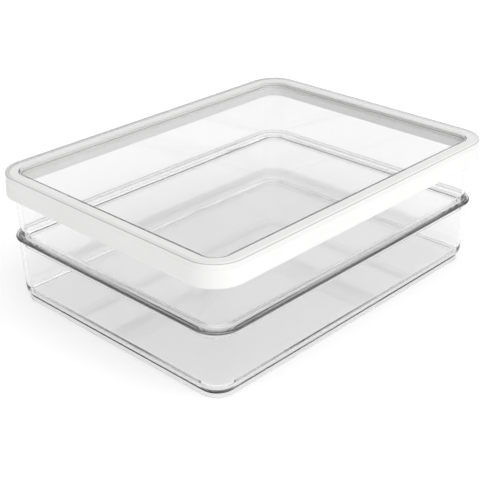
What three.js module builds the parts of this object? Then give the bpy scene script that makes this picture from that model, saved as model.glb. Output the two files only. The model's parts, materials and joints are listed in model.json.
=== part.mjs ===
// Two-tier cold cuts container: two clear trays that stand one in the other, under one framed lid.
// Millimetres, +Z up, X along the long side. The origin is on the table, under the middle of the box.
// Every piece is a section swept round a rounded rectangle. A section is a list of [inset, height]
// points, and an inset is measured inwards from the edge of the lid's top.
import * as THREE from 'three';

// Outline of the lid's top, seen from above
const LENGTH = 250;
const WIDTH = 187.5;
const CORNER_RADIUS = 19.5;
const CORNER_STEPS = 6;
const ARC_STEPS = 5;

// Tray
const TRAY_HEIGHT = 44.2;
const WALL_THICKNESS = 2;
const FLOOR_THICKNESS = 2.3;
const WALL_TOP_INSET = 4.3;
const WALL_FOOT_INSET = 5.5;
const BOTTOM_RADIUS = 6.8;
const INSIDE_RADIUS = 6.5;
const FOOT_HEIGHT = 2.4;
const FOOT_THICKNESS = 2;
const FOOT_CHAMFER = 0.4;

// Rim bead of the tray
const BEAD_INSET = 2.6;
const BEAD_HEIGHT = 2.1;
const RIM_EDGE = 0.3;

// Stacking of the trays
const NEST_DEPTH = 6.6;
const NEST_GAP = 0.3;
const FOOT_GAP = 1.4;

// Lid frame
const WEB_THICKNESS = 2.1;
const SKIRT_DEPTH = 14;
const SKIRT_THICKNESS = 1.8;
const SKIRT_FLARE = 0.45;
const SKIRT_CHAMFER = 0.4;
const PLUG_DEPTH = 12;
const PLUG_THICKNESS = 1.7;
const PLUG_GAP = 0.9;
const MOUTH_GAP = 0.6;
const RIM_GAP = 0.3;
const SHOULDER_WIDTH = 3;
const SHOULDER_DROP = 2.6;
const SHOULDER_LAND = 0.4;

// Lid panel
const FLANGE_THICKNESS = 1.2;
const FLANGE_EDGE_RADIUS = 0.3;
const RECESS_DEPTH = 3.1;
const RECESS_WALL = 1;
const RECESS_RADIUS = 0.3;
const UNDER_RADIUS = 1;
const WINDOW_THICKNESS = 1.8;
const PANEL_GAP = 0.2;

// Lid seal
const GROOVE_LIFT = 1.8;
const GROOVE_HEIGHT = 2.6;
const GROOVE_DEPTH = 0.7;
const SEAL_FIT = 0.12;
const SEAL_GAP = 0.25;

// What follows from the sizes above
const tierPitch = TRAY_HEIGHT - NEST_DEPTH;
const bottomCentre = { inset: WALL_FOOT_INSET + BOTTOM_RADIUS, height: FOOT_HEIGHT + BOTTOM_RADIUS };
const innerTopInset = WALL_TOP_INSET + WALL_THICKNESS;
const innerFootInset = WALL_FOOT_INSET + WALL_THICKNESS;
const insideCentre = {
  inset: innerFootInset + INSIDE_RADIUS,
  height: FOOT_HEIGHT + FLOOR_THICKNESS + INSIDE_RADIUS,
};
const footInset = innerTopInset + FOOT_GAP;
const lidTop = RIM_GAP + WEB_THICKNESS + FLANGE_THICKNESS;
const flangeUnder = lidTop - FLANGE_THICKNESS;
const windowUnder = lidTop - RECESS_DEPTH - WINDOW_THICKNESS;
const plugOuterInset = innerTopInset + PLUG_GAP;
const bandWidth = plugOuterInset + PLUG_THICKNESS;

// Points on an arc of a section. Angle 0 points outwards, to a smaller inset, and 90 points down.
function arc(centre, radius, from, to) {
  const points = [];
  for (let step = 0; step <= ARC_STEPS; step += 1) {
    const angle = from + ((to - from) * step) / ARC_STEPS;
    points.push([centre.inset - radius * Math.cos(angle), centre.height - radius * Math.sin(angle)]);
  }
  return points;
}

// One closed loop round the box at an inset and a height, anticlockwise seen from above
function ring([inset, height]) {
  const points = [];
  const radius = CORNER_RADIUS - inset;
  const corners = [[1, 1], [-1, 1], [-1, -1], [1, -1]];
  corners.forEach(([signX, signY], corner) => {
    for (let step = 0; step <= CORNER_STEPS; step += 1) {
      const angle = (corner + step / CORNER_STEPS) * Math.PI / 2;
      const x = signX * (LENGTH / 2 - CORNER_RADIUS) + radius * Math.cos(angle);
      const y = signY * (WIDTH / 2 - CORNER_RADIUS) + radius * Math.sin(angle);
      points.push(x, y, height);
    }
  });
  return points;
}

// Sweeps a section round the box. A closed section makes a ring. An open one makes a dish, whose first
// and last loops are filled in flat. Sections run up the outside, so that the faces point out.
function sweep(section, closed) {
  const positions = section.flatMap(ring);
  const around = 4 * (CORNER_STEPS + 1);
  const triangles = [];
  const spans = closed ? section.length : section.length - 1;
  for (let span = 0; span < spans; span += 1) {
    const low = span * around;
    const high = ((span + 1) % section.length) * around;
    for (let here = 0; here < around; here += 1) {
      const next = (here + 1) % around;
      triangles.push(low + here, low + next, high + next, low + here, high + next, high + here);
    }
  }
  if (!closed) {
    const last = (section.length - 1) * around;
    const underside = section.length * around;
    const topside = underside + 1;
    positions.push(0, 0, section[0][1], 0, 0, section[section.length - 1][1]);
    for (let here = 0; here < around; here += 1) {
      const next = (here + 1) % around;
      triangles.push(underside, next, here, topside, last + here, last + next);
    }
  }
  const geometry = new THREE.BufferGeometry();
  geometry.setAttribute('position', new THREE.Float32BufferAttribute(positions, 3));
  geometry.setIndex(triangles);
  geometry.computeVertexNormals();
  return geometry;
}

// The seat inside a rim follows the rounded bottom of the tray that stands in it, a gap away
function seat() {
  const centre = { inset: bottomCentre.inset, height: tierPitch + bottomCentre.height };
  const radius = BOTTOM_RADIUS + NEST_GAP;
  const start = Math.max(0, (centre.height - (TRAY_HEIGHT - RIM_EDGE)) / radius);
  return arc(centre, radius, Math.asin(start), Math.acos((centre.inset - innerTopInset) / radius));
}

const rimSeat = seat();
const mouthInset = rimSeat[0][0];
const seatFoot = rimSeat[rimSeat.length - 1][1];

// Inset of the tray's drafted inner wall at a height
function innerWallInset(height) {
  const share = (seatFoot - height) / (seatFoot - insideCentre.height);
  return innerTopInset + share * (innerFootInset - innerTopInset);
}

// Tray: foot ring, rounded bottom edge, drafted wall, round bead along the rim and the seat inside it
function trayGeometry() {
  const footJoin = Math.acos((bottomCentre.inset - footInset) / BOTTOM_RADIUS);
  const beadRadius = BEAD_HEIGHT / 2;
  const bead = { inset: BEAD_INSET + beadRadius, height: TRAY_HEIGHT - beadRadius };
  return sweep([
    [footInset + FOOT_THICKNESS, FOOT_HEIGHT],
    [footInset + FOOT_THICKNESS, 0],
    [footInset + FOOT_CHAMFER, 0],
    [footInset, FOOT_CHAMFER],
    ...arc(bottomCentre, BOTTOM_RADIUS, footJoin, 0),
    [WALL_TOP_INSET, TRAY_HEIGHT - BEAD_HEIGHT],
    ...arc(bead, beadRadius, Math.PI / 2, -Math.PI / 2),
    [mouthInset - RIM_EDGE / 2, TRAY_HEIGHT],
    ...rimSeat,
    ...arc(insideCentre, INSIDE_RADIUS, 0, Math.PI / 2),
  ], false);
}

// Heights of the lid's pieces count from the top of the rim that the lid closes

// Groove round the plug wall of the frame, which holds the seal
const grooveLow = lidTop - PLUG_DEPTH + GROOVE_LIFT;
const grooveHigh = grooveLow + GROOVE_HEIGHT;
const grooveInset = plugOuterInset + GROOVE_DEPTH;

// Sloping shoulder of the frame, from the skirt up to the web. The panel's flange fits over it.
function shoulder() {
  return [
    [SHOULDER_LAND, flangeUnder - SHOULDER_DROP],
    [SHOULDER_WIDTH, flangeUnder],
  ];
}

// Frame: flared skirt outside the rim, web over it and plug wall inside it, with a ledge under the window
function frameGeometry() {
  const skirtLow = lidTop - SKIRT_DEPTH;
  const plugLow = lidTop - PLUG_DEPTH;
  const webUnder = flangeUnder - WEB_THICKNESS;
  const webInset = bandWidth - RECESS_WALL - PANEL_GAP;
  const plugNeckInset = mouthInset + MOUTH_GAP;
  return sweep([
    [-SKIRT_FLARE, skirtLow + SKIRT_CHAMFER],
    [0, flangeUnder - SHOULDER_DROP],
    ...shoulder(),
    [webInset, flangeUnder],
    [webInset, windowUnder],
    [bandWidth, windowUnder],
    [bandWidth, plugLow],
    [plugOuterInset, plugLow],
    [plugOuterInset, grooveLow],
    [grooveInset, grooveLow],
    [grooveInset, grooveHigh],
    [plugOuterInset, grooveHigh],
    [plugOuterInset, seatFoot - TRAY_HEIGHT - PLUG_GAP],
    [plugNeckInset, -MOUTH_GAP],
    [plugNeckInset, webUnder],
    [SKIRT_THICKNESS, webUnder],
    [SKIRT_THICKNESS - SKIRT_FLARE, skirtLow],
    [SKIRT_CHAMFER - SKIRT_FLARE, skirtLow],
  ], true);
}

// Panel: flange over the frame's web and shoulder, recess wall with a rounded foot and flat window
function panelGeometry() {
  const edgeRadius = Math.min(FLANGE_EDGE_RADIUS, FLANGE_THICKNESS / 2);
  const edge = { inset: edgeRadius, height: lidTop - edgeRadius };
  const wallInset = bandWidth - RECESS_WALL;
  const under = { inset: wallInset + UNDER_RADIUS, height: windowUnder + UNDER_RADIUS };
  const recess = { inset: bandWidth + RECESS_RADIUS, height: lidTop - RECESS_DEPTH + RECESS_RADIUS };
  return sweep([
    ...arc(under, UNDER_RADIUS, Math.PI / 2, 0),
    [wallInset, flangeUnder],
    ...shoulder().reverse(),
    [0, flangeUnder - SHOULDER_DROP],
    ...arc(edge, edgeRadius, 0, -Math.PI / 2),
    [bandWidth, lidTop],
    ...arc(recess, RECESS_RADIUS, 0, Math.PI / 2),
  ], false);
}

// Seal: ring in the groove with a lip that reaches the tray's inner wall
function sealGeometry() {
  const low = grooveLow + SEAL_FIT;
  const high = grooveHigh - SEAL_FIT;
  const middle = (low + high) / 2;
  const lipInset = innerWallInset(TRAY_HEIGHT + middle) + SEAL_GAP;
  return sweep([
    [plugOuterInset, low],
    [lipInset, middle],
    [plugOuterInset, high],
    [grooveInset - SEAL_FIT, high],
    [grooveInset - SEAL_FIT, low],
  ], true);
}

const clearPlastic = new THREE.MeshStandardMaterial({
  color: 0xeef1f2, roughness: 0.06, metalness: 0, transparent: true, opacity: 0.3,
});
const whitePlastic = new THREE.MeshStandardMaterial({ color: 0xf1f1ef, roughness: 0.45, metalness: 0 });
const softSeal = new THREE.MeshStandardMaterial({ color: 0xe2e2df, roughness: 0.8, metalness: 0 });

function piece(name, geometry, material) {
  const mesh = new THREE.Mesh(geometry, material);
  mesh.name = name;
  return mesh;
}

const lowerTray = piece('lower_tray', trayGeometry(), clearPlastic);
const upperTray = piece('upper_tray', trayGeometry(), clearPlastic);
upperTray.position.z = tierPitch;

const lid = new THREE.Group();
lid.position.z = tierPitch + TRAY_HEIGHT;
lid.add(piece('lid_frame', frameGeometry(), whitePlastic));
lid.add(piece('lid_panel', panelGeometry(), clearPlastic));
lid.add(piece('lid_seal', sealGeometry(), softSeal));

const container = new THREE.Group();
container.add(lowerTray, upperTray, lid);

export default container;
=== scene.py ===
import json
import math

import bmesh
import bpy
from mathutils import Matrix, Vector

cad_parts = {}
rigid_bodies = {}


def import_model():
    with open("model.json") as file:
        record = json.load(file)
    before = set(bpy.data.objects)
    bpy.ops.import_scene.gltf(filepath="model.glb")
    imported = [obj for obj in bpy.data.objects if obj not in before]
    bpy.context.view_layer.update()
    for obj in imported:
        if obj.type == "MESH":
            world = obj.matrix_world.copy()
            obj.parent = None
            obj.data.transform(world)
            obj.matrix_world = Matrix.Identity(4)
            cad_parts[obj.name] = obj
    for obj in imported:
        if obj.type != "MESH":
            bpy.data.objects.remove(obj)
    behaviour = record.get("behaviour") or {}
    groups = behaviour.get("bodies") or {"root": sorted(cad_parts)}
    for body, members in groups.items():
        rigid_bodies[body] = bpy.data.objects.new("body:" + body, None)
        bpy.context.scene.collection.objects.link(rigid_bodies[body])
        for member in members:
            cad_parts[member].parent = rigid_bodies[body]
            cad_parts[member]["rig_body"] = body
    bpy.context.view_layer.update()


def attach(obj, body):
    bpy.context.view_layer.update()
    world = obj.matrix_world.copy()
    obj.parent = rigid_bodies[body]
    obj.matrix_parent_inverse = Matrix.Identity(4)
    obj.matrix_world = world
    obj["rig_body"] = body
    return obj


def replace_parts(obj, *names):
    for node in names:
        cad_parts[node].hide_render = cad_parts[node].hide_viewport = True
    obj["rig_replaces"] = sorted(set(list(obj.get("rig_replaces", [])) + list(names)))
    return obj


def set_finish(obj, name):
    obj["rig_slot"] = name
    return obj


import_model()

bpy.context.scene.view_settings.view_transform = "Standard"


# Lower tray
# A clear tray moulded in one piece from polished styrene, with a foot ring, leaning walls and a bead rim.
# The rim is hollowed as a seat for the tray above. The section is swept round the box and the floor closed.
MM = 0.001
MERGE = 0.001 * MM
LENGTH = 250.0
WIDTH = 187.5
CORNER_RADIUS = 19.5
CORNER_STEPS = 20
TIER_PITCH = 37.6
BORDER = 0.15
LONG_FLAT = 1.0
FLAT_BORDER = 1.5
SMOOTH_ANGLE = 25
STRAIGHT_X = LENGTH / 2 - CORNER_RADIUS
STRAIGHT_Y = WIDTH / 2 - CORNER_RADIUS


def round_stretch(inset, height, radius, start, end, steps=10):
    """Points on a round stretch of a section. 0 degrees points out of the box and 90 points down."""
    points = []
    for step in range(steps + 1):
        angle = math.radians(start + (end - start) * step / steps)
        points.append((inset - radius * math.cos(angle), height - radius * math.sin(angle)))
    return points


def hold_flats(section):
    """The section with a point close to each end of every flat stretch, so that the flat shades flat."""
    held = [section[0]]
    for start, end in zip(section, section[1:]):
        length = math.dist(start, end)
        if length > LONG_FLAT:
            share = BORDER / length
            across = (end[0] - start[0], end[1] - start[1])
            held.append((start[0] + across[0] * share, start[1] + across[1] * share))
            held.append((end[0] - across[0] * share, end[1] - across[1] * share))
        held.append(end)
    return held


def pick(piece, wanted):
    """Selects the points, edges and faces whose points all pass the test, in edit mode."""
    bpy.ops.mesh.select_all(action="DESELECT")
    mesh = bmesh.from_edit_mesh(piece.data)
    for vert in mesh.verts:
        vert.select = wanted(vert)
    mesh.select_flush(True)
    bmesh.update_edit_mesh(piece.data)


def draw_section(name, section, closed=False):
    """A wire along the section at the middle of a short side, pulled out of one point."""
    bpy.ops.object.select_all(action="DESELECT")
    bpy.ops.mesh.primitive_plane_add(size=0.01)
    piece = bpy.context.object
    piece.name = name
    piece.data.name = name
    bpy.ops.object.mode_set(mode="EDIT")
    bpy.ops.mesh.select_mode(type="VERT")
    bpy.ops.mesh.select_all(action="SELECT")
    bpy.ops.mesh.merge(type="CENTER")
    if closed:
        section = hold_flats(section + section[:1])[:-1]
    else:
        section = hold_flats(section)
    last_inset, last_height = section[0]
    bpy.ops.transform.translate(value=((LENGTH / 2 - last_inset) * MM, 0, last_height * MM))
    for inset, height in section[1:]:
        step = ((last_inset - inset) * MM, 0, (height - last_height) * MM)
        bpy.ops.mesh.extrude_vertices_move(TRANSFORM_OT_translate={"value": step})
        last_inset, last_height = inset, height
    if closed:
        pick(piece, lambda vert: len(vert.link_edges) == 1)
        bpy.ops.mesh.edge_face_add()
    return piece


def sweep_round_box(piece):
    """Pulls the wire along half a short side, round the corner and along half a long side.
    The quarter is mirrored twice to go round the whole box."""
    bpy.ops.mesh.select_all(action="SELECT")
    bpy.ops.mesh.extrude_region_move(TRANSFORM_OT_translate={"value": (0, (STRAIGHT_Y - BORDER) * MM, 0)})
    bpy.ops.mesh.extrude_region_move(TRANSFORM_OT_translate={"value": (0, BORDER * MM, 0)})
    corner = (STRAIGHT_X * MM, STRAIGHT_Y * MM, 0)
    bpy.ops.mesh.spin(steps=CORNER_STEPS, angle=math.radians(-90), center=corner, axis=(0, 0, 1))
    bpy.ops.mesh.extrude_region_move(TRANSFORM_OT_translate={"value": (-BORDER * MM, 0, 0)})
    bpy.ops.mesh.extrude_region_move(TRANSFORM_OT_translate={"value": ((BORDER - STRAIGHT_X) * MM, 0, 0)})
    bpy.ops.object.mode_set(mode="OBJECT")
    bpy.ops.object.modifier_add(type="MIRROR")
    mirror = piece.modifiers[-1]
    mirror.use_axis = (True, True, False)
    mirror.merge_threshold = MERGE
    bpy.ops.object.modifier_apply(modifier=mirror.name)
    bpy.ops.object.mode_set(mode="EDIT")
    bpy.ops.mesh.select_all(action="SELECT")
    bpy.ops.mesh.remove_doubles(threshold=MERGE)


def close_flat(piece, height):
    """Fills the open loop at a height, with a narrow border so that the flat face shades flat."""
    pick(piece, lambda vert: vert.is_boundary and abs(vert.co.z - height * MM) < 2 * MERGE)
    bpy.ops.mesh.edge_face_add()
    bpy.ops.mesh.inset(thickness=FLAT_BORDER * MM)


def finish_moulding(piece):
    """Turns the faces outwards and smooths the round stretches."""
    bpy.ops.mesh.select_all(action="SELECT")
    bpy.ops.mesh.normals_make_consistent(inside=False)
    bpy.ops.object.mode_set(mode="OBJECT")
    bpy.ops.object.shade_smooth_by_angle(angle=math.radians(SMOOTH_ANGLE))


TRAY_HEIGHT = 44.2
WALL_TOP = 4.3
WALL_FOOT = 5.5
WALL = 2.0
BOTTOM_RADIUS = 6.8
INSIDE_RADIUS = 6.5
FLOOR_TOP = 4.7
FOOT_HEIGHT = 2.4
FOOT_INSET = 7.7
FOOT_THICKNESS = 2.0
FOOT_EDGE = 0.4
BEAD_RADIUS = 1.05
BEAD_INSET = 2.6 + BEAD_RADIUS
SMALL_EDGE = 0.3
NEST_GAP = 0.3
foot_inside = FOOT_INSET + FOOT_THICKNESS
bottom_inset = WALL_FOOT + BOTTOM_RADIUS
bottom_height = FOOT_HEIGHT + BOTTOM_RADIUS
bead_middle = TRAY_HEIGHT - BEAD_RADIUS
inside_inset = WALL_FOOT + WALL + INSIDE_RADIUS
seat_radius = BOTTOM_RADIUS + NEST_GAP
seat_height = TIER_PITCH + bottom_height
seat_start = math.degrees(math.asin((seat_height - TRAY_HEIGHT + SMALL_EDGE) / seat_radius))
seat_end = math.degrees(math.acos((bottom_inset - WALL_TOP - WALL) / seat_radius))
mouth_inset = bottom_inset - seat_radius * math.cos(math.radians(seat_start))
foot_join = math.degrees(math.acos((bottom_inset - FOOT_INSET) / BOTTOM_RADIUS))
tray_section = (
    [(foot_inside, FOOT_HEIGHT), (foot_inside, SMALL_EDGE)]
    + round_stretch(foot_inside - SMALL_EDGE, SMALL_EDGE, SMALL_EDGE, 180, 90, 4)[1:]
    + round_stretch(FOOT_INSET + FOOT_EDGE, FOOT_EDGE, FOOT_EDGE, 90, 0, 5)
    + round_stretch(bottom_inset, bottom_height, BOTTOM_RADIUS, foot_join, 0, 10)
    + round_stretch(WALL_TOP - SMALL_EDGE, bead_middle - BEAD_RADIUS - SMALL_EDGE, SMALL_EDGE, 180, 270, 4)
    + round_stretch(BEAD_INSET, bead_middle, BEAD_RADIUS, 90, -90, 16)
    + round_stretch(mouth_inset - SMALL_EDGE, TRAY_HEIGHT - SMALL_EDGE, SMALL_EDGE, -90, -155, 4)
    + round_stretch(bottom_inset, seat_height, seat_radius, seat_start + 1, seat_end, 5)
    + round_stretch(inside_inset, FLOOR_TOP + INSIDE_RADIUS, INSIDE_RADIUS, 0, 90, 14)
)
lower_tray = draw_section("lower_tray_clear", tray_section)
sweep_round_box(lower_tray)
close_flat(lower_tray, FOOT_HEIGHT)
close_flat(lower_tray, FLOOR_TOP)
finish_moulding(lower_tray)


def mark_painted_shade(piece, strength_at):
    """Notes on every point how much painted shade it gets, from the point's inset and height."""
    mark = piece.data.attributes.new("painted_shade", "FLOAT", "POINT")
    for point in piece.data.vertices:
        side_x = max(abs(point.co.x) / MM - STRAIGHT_X, 0.0)
        side_y = max(abs(point.co.y) / MM - STRAIGHT_Y, 0.0)
        inset = CORNER_RADIUS - math.hypot(side_x, side_y)
        mark.data[point.index].value = strength_at(inset, point.co.z / MM)


# Painted shade on the bead: strongest along its front, a little less on its crown.
BEAD_FRONT_PAINTED_SHADE = 1.0
BEAD_CROWN_PAINTED_SHADE = 0.7


def bead_painted_shade(inset, height):
    """Painted shade: the bead's front is painted dark and its crown a little lighter."""
    if inset > WALL_TOP or height < bead_middle - BEAD_RADIUS / 2:
        return 0.0
    return BEAD_CROWN_PAINTED_SHADE if height > TRAY_HEIGHT - 0.3 * BEAD_RADIUS else BEAD_FRONT_PAINTED_SHADE


mark_painted_shade(lower_tray, bead_painted_shade)


def polish_group():
    """Faint flow waves and fine handling marks of a polished moulding."""
    group = bpy.data.node_groups.new("mould_polish", "ShaderNodeTree")
    group.interface.new_socket("Vector", in_out="INPUT", socket_type="NodeSocketVector")
    group.interface.new_socket("Wave Scale", in_out="INPUT", socket_type="NodeSocketFloat")
    group.interface.new_socket("Smoothest", in_out="INPUT", socket_type="NodeSocketFloat")
    group.interface.new_socket("Dullest", in_out="INPUT", socket_type="NodeSocketFloat")
    group.interface.new_socket("Roughness", in_out="OUTPUT", socket_type="NodeSocketFloat")
    group.interface.new_socket("Height", in_out="OUTPUT", socket_type="NodeSocketFloat")
    nodes = group.nodes
    links = group.links
    given = nodes.new("NodeGroupInput")
    result = nodes.new("NodeGroupOutput")
    waves = nodes.new("ShaderNodeTexNoise")
    waves.inputs["Detail"].default_value = 1.0
    links.new(given.outputs["Vector"], waves.inputs["Vector"])
    links.new(given.outputs["Wave Scale"], waves.inputs["Scale"])
    marks = nodes.new("ShaderNodeTexNoise")
    marks.inputs["Scale"].default_value = 160.0
    marks.inputs["Detail"].default_value = 4.0
    marks.inputs["Distortion"].default_value = 1.5
    links.new(given.outputs["Vector"], marks.inputs["Vector"])
    spread = nodes.new("ShaderNodeMapRange")
    spread.inputs["From Min"].default_value = 0.45
    spread.inputs["From Max"].default_value = 0.75
    links.new(marks.outputs["Fac"], spread.inputs["Value"])
    links.new(given.outputs["Smoothest"], spread.inputs["To Min"])
    links.new(given.outputs["Dullest"], spread.inputs["To Max"])
    links.new(spread.outputs["Result"], result.inputs["Roughness"])
    links.new(waves.outputs["Fac"], result.inputs["Height"])
    return group


mould_polish = polish_group()


def clear_plastic(name, wave_scale):
    """Clear polished plastic that bends what is behind it and lets the lamps shine through.
    Where its painted shade mark is high, the colour is painted a dark grey as painted shade."""
    material = bpy.data.materials.new(name)
    material.use_nodes = True
    nodes = material.node_tree.nodes
    links = material.node_tree.links
    shader = nodes["Principled BSDF"]
    painted_shade = nodes.new("ShaderNodeAttribute")
    painted_shade.attribute_name = "painted_shade"
    # Painted shade: the mark pulls the colour from white towards a dark grey.
    colour = nodes.new("ShaderNodeMix")
    colour.data_type = "RGBA"
    colour.inputs["A"].default_value = (1, 1, 1, 1)
    colour.inputs["B"].default_value = (0.1, 0.1, 0.1, 1)
    links.new(painted_shade.outputs["Fac"], colour.inputs["Factor"])
    links.new(colour.outputs["Result"], shader.inputs["Base Color"])
    shader.inputs["Transmission Weight"].default_value = 1.0
    shader.inputs["IOR"].default_value = 1.52
    place = nodes.new("ShaderNodeTexCoord")
    polish = nodes.new("ShaderNodeGroup")
    polish.node_tree = mould_polish
    polish.inputs["Wave Scale"].default_value = wave_scale
    polish.inputs["Smoothest"].default_value = 0.0
    polish.inputs["Dullest"].default_value = 0.006
    links.new(place.outputs["Object"], polish.inputs["Vector"])
    links.new(polish.outputs["Roughness"], shader.inputs["Roughness"])
    ripple = nodes.new("ShaderNodeBump")
    ripple.inputs["Strength"].default_value = 0.015
    ripple.inputs["Distance"].default_value = 0.2 * MM
    links.new(polish.outputs["Height"], ripple.inputs["Height"])
    links.new(ripple.outputs["Normal"], shader.inputs["Normal"])
    ray = nodes.new("ShaderNodeLightPath")
    through = nodes.new("ShaderNodeBsdfTransparent")
    through.inputs["Color"].default_value = (0.91, 0.91, 0.91, 1)
    lamp_side = nodes.new("ShaderNodeMixShader")
    links.new(ray.outputs["Is Shadow Ray"], lamp_side.inputs[0])
    links.new(shader.outputs[0], lamp_side.inputs[1])
    links.new(through.outputs[0], lamp_side.inputs[2])
    room_side = nodes.new("ShaderNodeMixShader")
    links.new(ray.outputs["Is Diffuse Ray"], room_side.inputs[0])
    links.new(lamp_side.outputs[0], room_side.inputs[1])
    links.new(through.outputs[0], room_side.inputs[2])
    links.new(room_side.outputs[0], nodes["Material Output"].inputs["Surface"])
    depth = nodes.new("ShaderNodeVolumeAbsorption")
    depth.inputs["Color"].default_value = (0.5, 0.5, 0.5, 1)
    depth.inputs["Density"].default_value = 16.0
    links.new(depth.outputs[0], nodes["Material Output"].inputs["Volume"])
    return material


tray_plastic = clear_plastic("tray_clear_styrene", 18.0)
lower_tray.data.materials.append(tray_plastic)
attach(lower_tray, "lower")
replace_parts(lower_tray, "lower_tray")
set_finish(lower_tray, "clear_tray")


# Upper tray
# The same clear moulding again. It stands in the lower tray's rim, with its rounded bottom edge in the
# hollow of the bead, and nothing but its weight holds it there.
bpy.ops.object.select_all(action="DESELECT")
lower_tray.select_set(True)
bpy.context.view_layer.objects.active = lower_tray
bpy.ops.object.duplicate(linked=False)
upper_tray = bpy.context.object
upper_tray.name = "upper_tray_clear"
upper_tray.data.name = "upper_tray_clear"
bpy.ops.object.mode_set(mode="EDIT")
bpy.ops.mesh.select_all(action="SELECT")
bpy.ops.transform.translate(value=(0, 0, TIER_PITCH * MM))
bpy.ops.object.mode_set(mode="OBJECT")
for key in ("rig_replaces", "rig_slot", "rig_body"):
    if key in upper_tray:
        del upper_tray[key]
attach(upper_tray, "upper")
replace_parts(upper_tray, "upper_tray")
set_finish(upper_tray, "clear_tray")


# Lid frame
# The white frame of the lid, in satin polypropylene: skirt, sloping shoulder, flat top, and a plug wall
# inside the upper tray. A groove in the plug wall takes the seal, and the clear panel is bonded on top.
WEB_TOP = 84.2
WEB_UNDER = 82.1
WEB_INSIDE = 7.7
SHOULDER_WIDTH = 3.0
SHOULDER_DROP = 2.6
SHOULDER_LAND = 0.4
BOND = 0.03
SKIRT_FOOT = 71.4
SKIRT_THICKNESS = 1.8
SKIRT_FOOT_INSIDE = 1.35
SKIRT_FLARE = 0.45
SKIRT_EDGE = 0.35
PLUG_FOOT = 73.4
PLUG_INSET = 7.2
PLUG_INSIDE = 8.9
PLUG_EDGE = 0.4
PLUG_TOP = 80.45
RIM_INSET = 6.42
RIM_SLOPE_FOOT = 79.7
RIM_SLOPE_TOP = 81.2
GROOVE_INSET = 7.9
GROOVE_FOOT = 75.2
GROOVE_TOP = 77.8
shoulder_foot = WEB_TOP + BOND - SHOULDER_DROP
frame_section = (
    round_stretch(0.0, SKIRT_FOOT + SKIRT_FLARE, SKIRT_FLARE, 90, 0, 5)
    + [(0.0, shoulder_foot), (SHOULDER_LAND, shoulder_foot), (SHOULDER_WIDTH, WEB_TOP + BOND)]
    + [(WEB_INSIDE, WEB_TOP + BOND), (WEB_INSIDE, PLUG_TOP), (PLUG_INSIDE, PLUG_TOP)]
    + round_stretch(PLUG_INSIDE - PLUG_EDGE, PLUG_FOOT + PLUG_EDGE, PLUG_EDGE, 180, 90, 4)
    + round_stretch(PLUG_INSET + PLUG_EDGE, PLUG_FOOT + PLUG_EDGE, PLUG_EDGE, 90, 0, 4)
    + [(PLUG_INSET, GROOVE_FOOT), (GROOVE_INSET, GROOVE_FOOT)]
    + [(GROOVE_INSET, GROOVE_TOP), (PLUG_INSET, GROOVE_TOP), (PLUG_INSET, RIM_SLOPE_FOOT)]
    + [(RIM_INSET, RIM_SLOPE_TOP), (RIM_INSET, WEB_UNDER), (SKIRT_THICKNESS, WEB_UNDER)]
    + round_stretch(SKIRT_FOOT_INSIDE - SKIRT_EDGE, SKIRT_FOOT + SKIRT_EDGE, SKIRT_EDGE, 180, 90, 4)
)
lid_frame = draw_section("lid_frame_white", frame_section, closed=True)
sweep_round_box(lid_frame)
finish_moulding(lid_frame)


def white_plastic(name, patches, shades, grain_scale, gloss, grain_strength):
    """Moulded white plastic with faint patches of shade, uneven gloss and a fine grain."""
    material = bpy.data.materials.new(name)
    material.use_nodes = True
    nodes = material.node_tree.nodes
    links = material.node_tree.links
    shader = nodes["Principled BSDF"]
    place = nodes.new("ShaderNodeTexCoord")
    flow = nodes.new("ShaderNodeTexNoise")
    flow.inputs["Scale"].default_value, flow.inputs["Detail"].default_value = patches
    links.new(place.outputs["Object"], flow.inputs["Vector"])
    shade = nodes.new("ShaderNodeValToRGB")
    for stop, (position, colour) in zip(shade.color_ramp.elements, shades):
        stop.position = position
        stop.color = (*colour, 1)
    links.new(flow.outputs["Fac"], shade.inputs["Fac"])
    links.new(shade.outputs["Color"], shader.inputs["Base Color"])
    polish = nodes.new("ShaderNodeGroup")
    polish.node_tree = mould_polish
    polish.inputs["Wave Scale"].default_value = grain_scale
    polish.inputs["Smoothest"].default_value, polish.inputs["Dullest"].default_value = gloss
    links.new(place.outputs["Object"], polish.inputs["Vector"])
    links.new(polish.outputs["Roughness"], shader.inputs["Roughness"])
    grain = nodes.new("ShaderNodeBump")
    grain.inputs["Strength"].default_value = grain_strength
    grain.inputs["Distance"].default_value = 0.1 * MM
    links.new(polish.outputs["Height"], grain.inputs["Height"])
    links.new(grain.outputs["Normal"], shader.inputs["Normal"])
    return material


FRAME_SHADES = [(0.3, (0.875, 0.875, 0.87)), (0.7, (0.905, 0.905, 0.90))]
satin = white_plastic("frame_white_satin", (22.0, 3.0), FRAME_SHADES, 1400.0, (0.36, 0.48), 0.12)
satin.node_tree.nodes["Principled BSDF"].inputs["IOR"].default_value = 1.49
lid_frame.data.materials.append(satin)
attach(lid_frame, "lid")
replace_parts(lid_frame, "lid_frame")
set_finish(lid_frame, "white_frame")


# Lid seal
# A ring of soft matt white plastic pressed into the groove of the plug wall.
# Its rounded lip reaches out to the inner wall of the upper tray.
SEAL_FIT = 0.12
LIP_INSET = 6.7
seal_inside = GROOVE_INSET - SEAL_FIT
seal_foot = GROOVE_FOOT + SEAL_FIT
seal_top = GROOVE_TOP - SEAL_FIT
lip_height = (GROOVE_FOOT + GROOVE_TOP) / 2
seal_section = [
    (seal_inside, seal_foot),
    (LIP_INSET + 0.6, seal_foot),
    (LIP_INSET + 0.15, lip_height - 0.4),
    (LIP_INSET + 0.03, lip_height - 0.1),
    (LIP_INSET, lip_height),
    (LIP_INSET + 0.03, lip_height + 0.1),
    (LIP_INSET + 0.15, lip_height + 0.4),
    (LIP_INSET + 0.6, seal_top),
    (seal_inside, seal_top),
]
lid_seal = draw_section("lid_seal_soft", seal_section, closed=True)
sweep_round_box(lid_seal)
finish_moulding(lid_seal)

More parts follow.
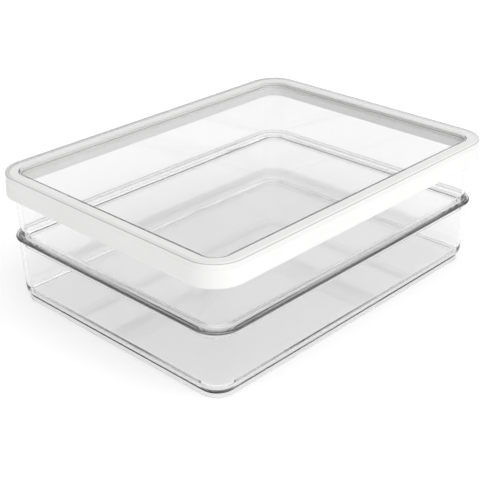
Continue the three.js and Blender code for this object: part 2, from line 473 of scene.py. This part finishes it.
SEAL_SHADES = [(0.0, (0.74, 0.74, 0.73)), (1.0, (0.82, 0.82, 0.81))]
soft = white_plastic("seal_soft_white", (240.0, 5.0), SEAL_SHADES, 900.0, (0.65, 0.8), 0.2)
lid_seal.data.materials.append(soft)
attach(lid_seal, "lid")
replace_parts(lid_seal, "lid_seal")
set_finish(lid_seal, "soft_seal")


# Lid panel
# The clear panel of the lid, moulded from polished styrene. Its flange lies on the white frame and covers
# the shoulder as a clear ring, and a short wall goes down from it to the flat recessed window.
LID_TOP = 85.4
WINDOW_TOP = 82.3
WINDOW_UNDER = 80.5
RECESS_INSET = 8.9
RECESS_FOOT = 0.3
UNDER_RADIUS = 1.0
FLANGE_EDGE = 0.3
BAND_EDGE = 0.2
LAND_EDGE = 0.15
ring_foot = WEB_TOP - SHOULDER_DROP
panel_section = (
    round_stretch(RECESS_INSET, WINDOW_UNDER + UNDER_RADIUS, UNDER_RADIUS, 90, 0, 8)
    + [(RECESS_INSET - UNDER_RADIUS, WEB_TOP), (SHOULDER_WIDTH, WEB_TOP), (SHOULDER_LAND, ring_foot)]
    + round_stretch(LAND_EDGE, ring_foot + LAND_EDGE, LAND_EDGE, 90, 0, 3)
    + round_stretch(FLANGE_EDGE, LID_TOP - FLANGE_EDGE, FLANGE_EDGE, 0, -90, 5)
    + [(SHOULDER_WIDTH, LID_TOP)]
    + round_stretch(RECESS_INSET - BAND_EDGE, LID_TOP - BAND_EDGE, BAND_EDGE, -90, -180, 4)
    + round_stretch(RECESS_INSET + RECESS_FOOT, WINDOW_TOP + RECESS_FOOT, RECESS_FOOT, 0, 90, 5)
)
lid_panel = draw_section("lid_panel_clear", panel_section)
sweep_round_box(lid_panel)
close_flat(lid_panel, WINDOW_UNDER)
close_flat(lid_panel, WINDOW_TOP)
finish_moulding(lid_panel)


# Painted shade on the clear panel: how dark each part of it is painted.
NEAR = 0.05
FLANGE_EDGE_PAINTED_SHADE = 0.73
RING_PAINTED_SHADE = 0.18
RECESS_FOOT_PAINTED_SHADE = 0.55
WINDOW_PAINTED_SHADE = 0.055


def panel_painted_shade(inset, height):
    """Painted shade: dark at the flange's outer rim and the recess's foot, lighter on the ring, faintly
    grey on the window.
    """
    if inset < FLANGE_EDGE + NEAR and height > LID_TOP - FLANGE_EDGE - NEAR:
        return FLANGE_EDGE_PAINTED_SHADE
    if inset < SHOULDER_WIDTH - NEAR and height > LID_TOP - NEAR:
        return RING_PAINTED_SHADE
    by_wall = RECESS_INSET - NEAR < inset < RECESS_INSET + RECESS_FOOT + NEAR
    if by_wall and WINDOW_TOP - NEAR < height < WINDOW_TOP + RECESS_FOOT + NEAR:
        return RECESS_FOOT_PAINTED_SHADE
    return WINDOW_PAINTED_SHADE if height < WINDOW_TOP + NEAR else 0.0


mark_painted_shade(lid_panel, panel_painted_shade)
panel_plastic = clear_plastic("panel_clear_styrene", 14.0)
lid_panel.data.materials.append(panel_plastic)
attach(lid_panel, "lid")
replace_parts(lid_panel, "lid_panel")
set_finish(lid_panel, "clear_panel")


# Floor
# A wide white studio floor, a hair below the foot ring. It is matt and keeps the shadow of the box.
# It glows faintly for the camera and in the clear plastic, more so far away, so that it reads as white.
FLOOR_GAP = 0.03
bpy.ops.object.select_all(action="DESELECT")
bpy.ops.mesh.primitive_plane_add(size=80, location=(0, 0, -FLOOR_GAP * MM))
floor = bpy.context.object
floor.name = "studio_floor"
paper = bpy.data.materials.new("floor_white")
paper.use_nodes = True
paper.cycles.emission_sampling = "NONE"
paper_nodes = paper.node_tree.nodes
paper_links = paper.node_tree.links
paper_shader = paper_nodes["Principled BSDF"]
paper_shader.inputs["Base Color"].default_value = (0.9, 0.9, 0.9, 1)
paper_shader.inputs["Roughness"].default_value = 1.0
paper_shader.inputs["Specular IOR Level"].default_value = 0.0
paper_glow = paper_nodes.new("ShaderNodeEmission")
paper_ray = paper_nodes.new("ShaderNodeLightPath")
paper_seen = paper_nodes.new("ShaderNodeMath")
paper_seen.operation = "MAXIMUM"
paper_links.new(paper_ray.outputs["Is Glossy Ray"], paper_seen.inputs[0])
paper_links.new(paper_ray.outputs["Is Transmission Ray"], paper_seen.inputs[1])
paper_inside = paper_nodes.new("ShaderNodeMath")
paper_inside.operation = "MULTIPLY"
paper_inside.inputs[1].default_value = 0.2
paper_links.new(paper_seen.outputs[0], paper_inside.inputs[0])
paper_place = paper_nodes.new("ShaderNodeTexCoord")
paper_far = paper_nodes.new("ShaderNodeVectorMath")
paper_far.operation = "LENGTH"
paper_links.new(paper_place.outputs["Object"], paper_far.inputs[0])
paper_rise = paper_nodes.new("ShaderNodeMapRange")
paper_rise.inputs["From Min"].default_value = 0.4
paper_rise.inputs["From Max"].default_value = 2.0
paper_rise.inputs["To Min"].default_value = 0.23
paper_rise.inputs["To Max"].default_value = 0.6
paper_links.new(paper_far.outputs["Value"], paper_rise.inputs["Value"])
paper_level = paper_nodes.new("ShaderNodeMath")
paper_level.operation = "MULTIPLY_ADD"
paper_links.new(paper_rise.outputs["Result"], paper_level.inputs[1])
paper_links.new(paper_ray.outputs["Is Camera Ray"], paper_level.inputs[0])
paper_links.new(paper_inside.outputs[0], paper_level.inputs[2])
paper_links.new(paper_level.outputs[0], paper_glow.inputs["Strength"])
paper_sum = paper_nodes.new("ShaderNodeAddShader")
paper_links.new(paper_shader.outputs[0], paper_sum.inputs[0])
paper_links.new(paper_glow.outputs[0], paper_sum.inputs[1])
paper_links.new(paper_sum.outputs[0], paper_nodes["Material Output"].inputs["Surface"])
floor.data.materials.append(paper)


# Light
# A white room that lights mostly from above and in front, with a soft lamp to the right and one overhead.
# The camera sees plain white. Clear plastic and gloss see the room too, a little grey near the horizon.
room = bpy.data.worlds.new("white_room")
bpy.context.scene.world = room
room.use_nodes = True
room_nodes = room.node_tree.nodes
room_links = room.node_tree.links
room_light = room_nodes["Background"]
room_light.inputs["Color"].default_value = (1, 1, 1, 1)
room_place = room_nodes.new("ShaderNodeTexCoord")
room_slope = room_nodes.new("ShaderNodeVectorMath")
room_slope.operation = "DOT_PRODUCT"
room_slope.inputs[1].default_value = (-0.28, -0.4, 0.84)
room_links.new(room_place.outputs["Generated"], room_slope.inputs[0])
room_raise = room_nodes.new("ShaderNodeMath")
room_raise.inputs[1].default_value = 0.12
room_links.new(room_slope.outputs["Value"], room_raise.inputs[0])
room_least = room_nodes.new("ShaderNodeMath")
room_least.operation = "MAXIMUM"
room_least.inputs[1].default_value = 0.05
room_links.new(room_raise.outputs[0], room_least.inputs[0])
room_links.new(room_least.outputs[0], room_light.inputs["Strength"])
room_seen = room_nodes.new("ShaderNodeBackground")
room_parts = room_nodes.new("ShaderNodeSeparateXYZ")
room_links.new(room_place.outputs["Generated"], room_parts.inputs[0])
room_ramp = room_nodes.new("ShaderNodeValToRGB")
room_ramp.color_ramp.elements[0].position = 0.12
room_ramp.color_ramp.elements[0].color = (0.5, 0.5, 0.5, 1)
room_ramp.color_ramp.elements[1].position = 0.36
room_ramp.color_ramp.elements[1].color = (1, 1, 1, 1)
room_links.new(room_parts.outputs["Z"], room_ramp.inputs["Fac"])
room_links.new(room_ramp.outputs["Color"], room_seen.inputs["Color"])
room_ray = room_nodes.new("ShaderNodeLightPath")
room_clear = room_nodes.new("ShaderNodeMath")
room_clear.operation = "MAXIMUM"
room_links.new(room_ray.outputs["Is Glossy Ray"], room_clear.inputs[0])
room_links.new(room_ray.outputs["Is Transmission Ray"], room_clear.inputs[1])
room_mix = room_nodes.new("ShaderNodeMixShader")
room_links.new(room_clear.outputs[0], room_mix.inputs[0])
room_links.new(room_light.outputs[0], room_mix.inputs[1])
room_links.new(room_seen.outputs[0], room_mix.inputs[2])
room_white = room_nodes.new("ShaderNodeBackground")
room_white.inputs["Color"].default_value = (1, 1, 1, 1)
room_view = room_nodes.new("ShaderNodeMixShader")
room_links.new(room_ray.outputs["Is Camera Ray"], room_view.inputs[0])
room_links.new(room_mix.outputs[0], room_view.inputs[1])
room_links.new(room_white.outputs[0], room_view.inputs[2])
room_links.new(room_view.outputs[0], room_nodes["World Output"].inputs["Surface"])


def soft_lamp(name, place, aim, size, power):
    """A square soft box that shines from a place to a point."""
    bpy.ops.object.light_add(type="AREA", location=place)
    lamp = bpy.context.object
    lamp.name = name
    lamp.data.shape = "SQUARE"
    lamp.data.size = size
    lamp.data.energy = power
    along = Vector(aim) - lamp.location
    lamp.rotation_euler = along.to_track_quat("-Z", "Y").to_euler()


soft_lamp("lamp_right", (0.9, -1.5, 0.9), (0, 0, 0.04), 1.8, 7.0)
soft_lamp("lamp_top", (-0.5, -0.9, 1.5), (0, 0, 0), 2.4, 14.5)


# Camera
# It looks down at the front corner of the box from the photograph's angle, through a long lens.
camera_data = bpy.data.cameras.new("camera")
camera = bpy.data.objects.new("camera", camera_data)
bpy.context.scene.collection.objects.link(camera)
bpy.context.scene.camera = camera
camera_data.sensor_width = 36.0
camera_data.lens = 80.61
camera_data.clip_start = 0.01
camera_data.clip_end = 100.0
turn = Matrix.Rotation(math.radians(-46.33), 3, "Z")
tilt = Matrix.Rotation(math.radians(63.36), 3, "X")
roll = Matrix.Rotation(math.radians(-0.315), 3, "Z")
camera.location = (-0.4504, -0.4210, 0.3344)
camera.rotation_euler = (turn @ tilt @ roll).to_euler()


# Light paths
# Light that is caught in a clear wall goes a long way before it comes out.
bpy.context.scene.cycles.max_bounces = 160
bpy.context.scene.cycles.transmission_bounces = 160
bpy.context.scene.cycles.glossy_bounces = 160
bpy.context.scene.cycles.transparent_max_bounces = 32
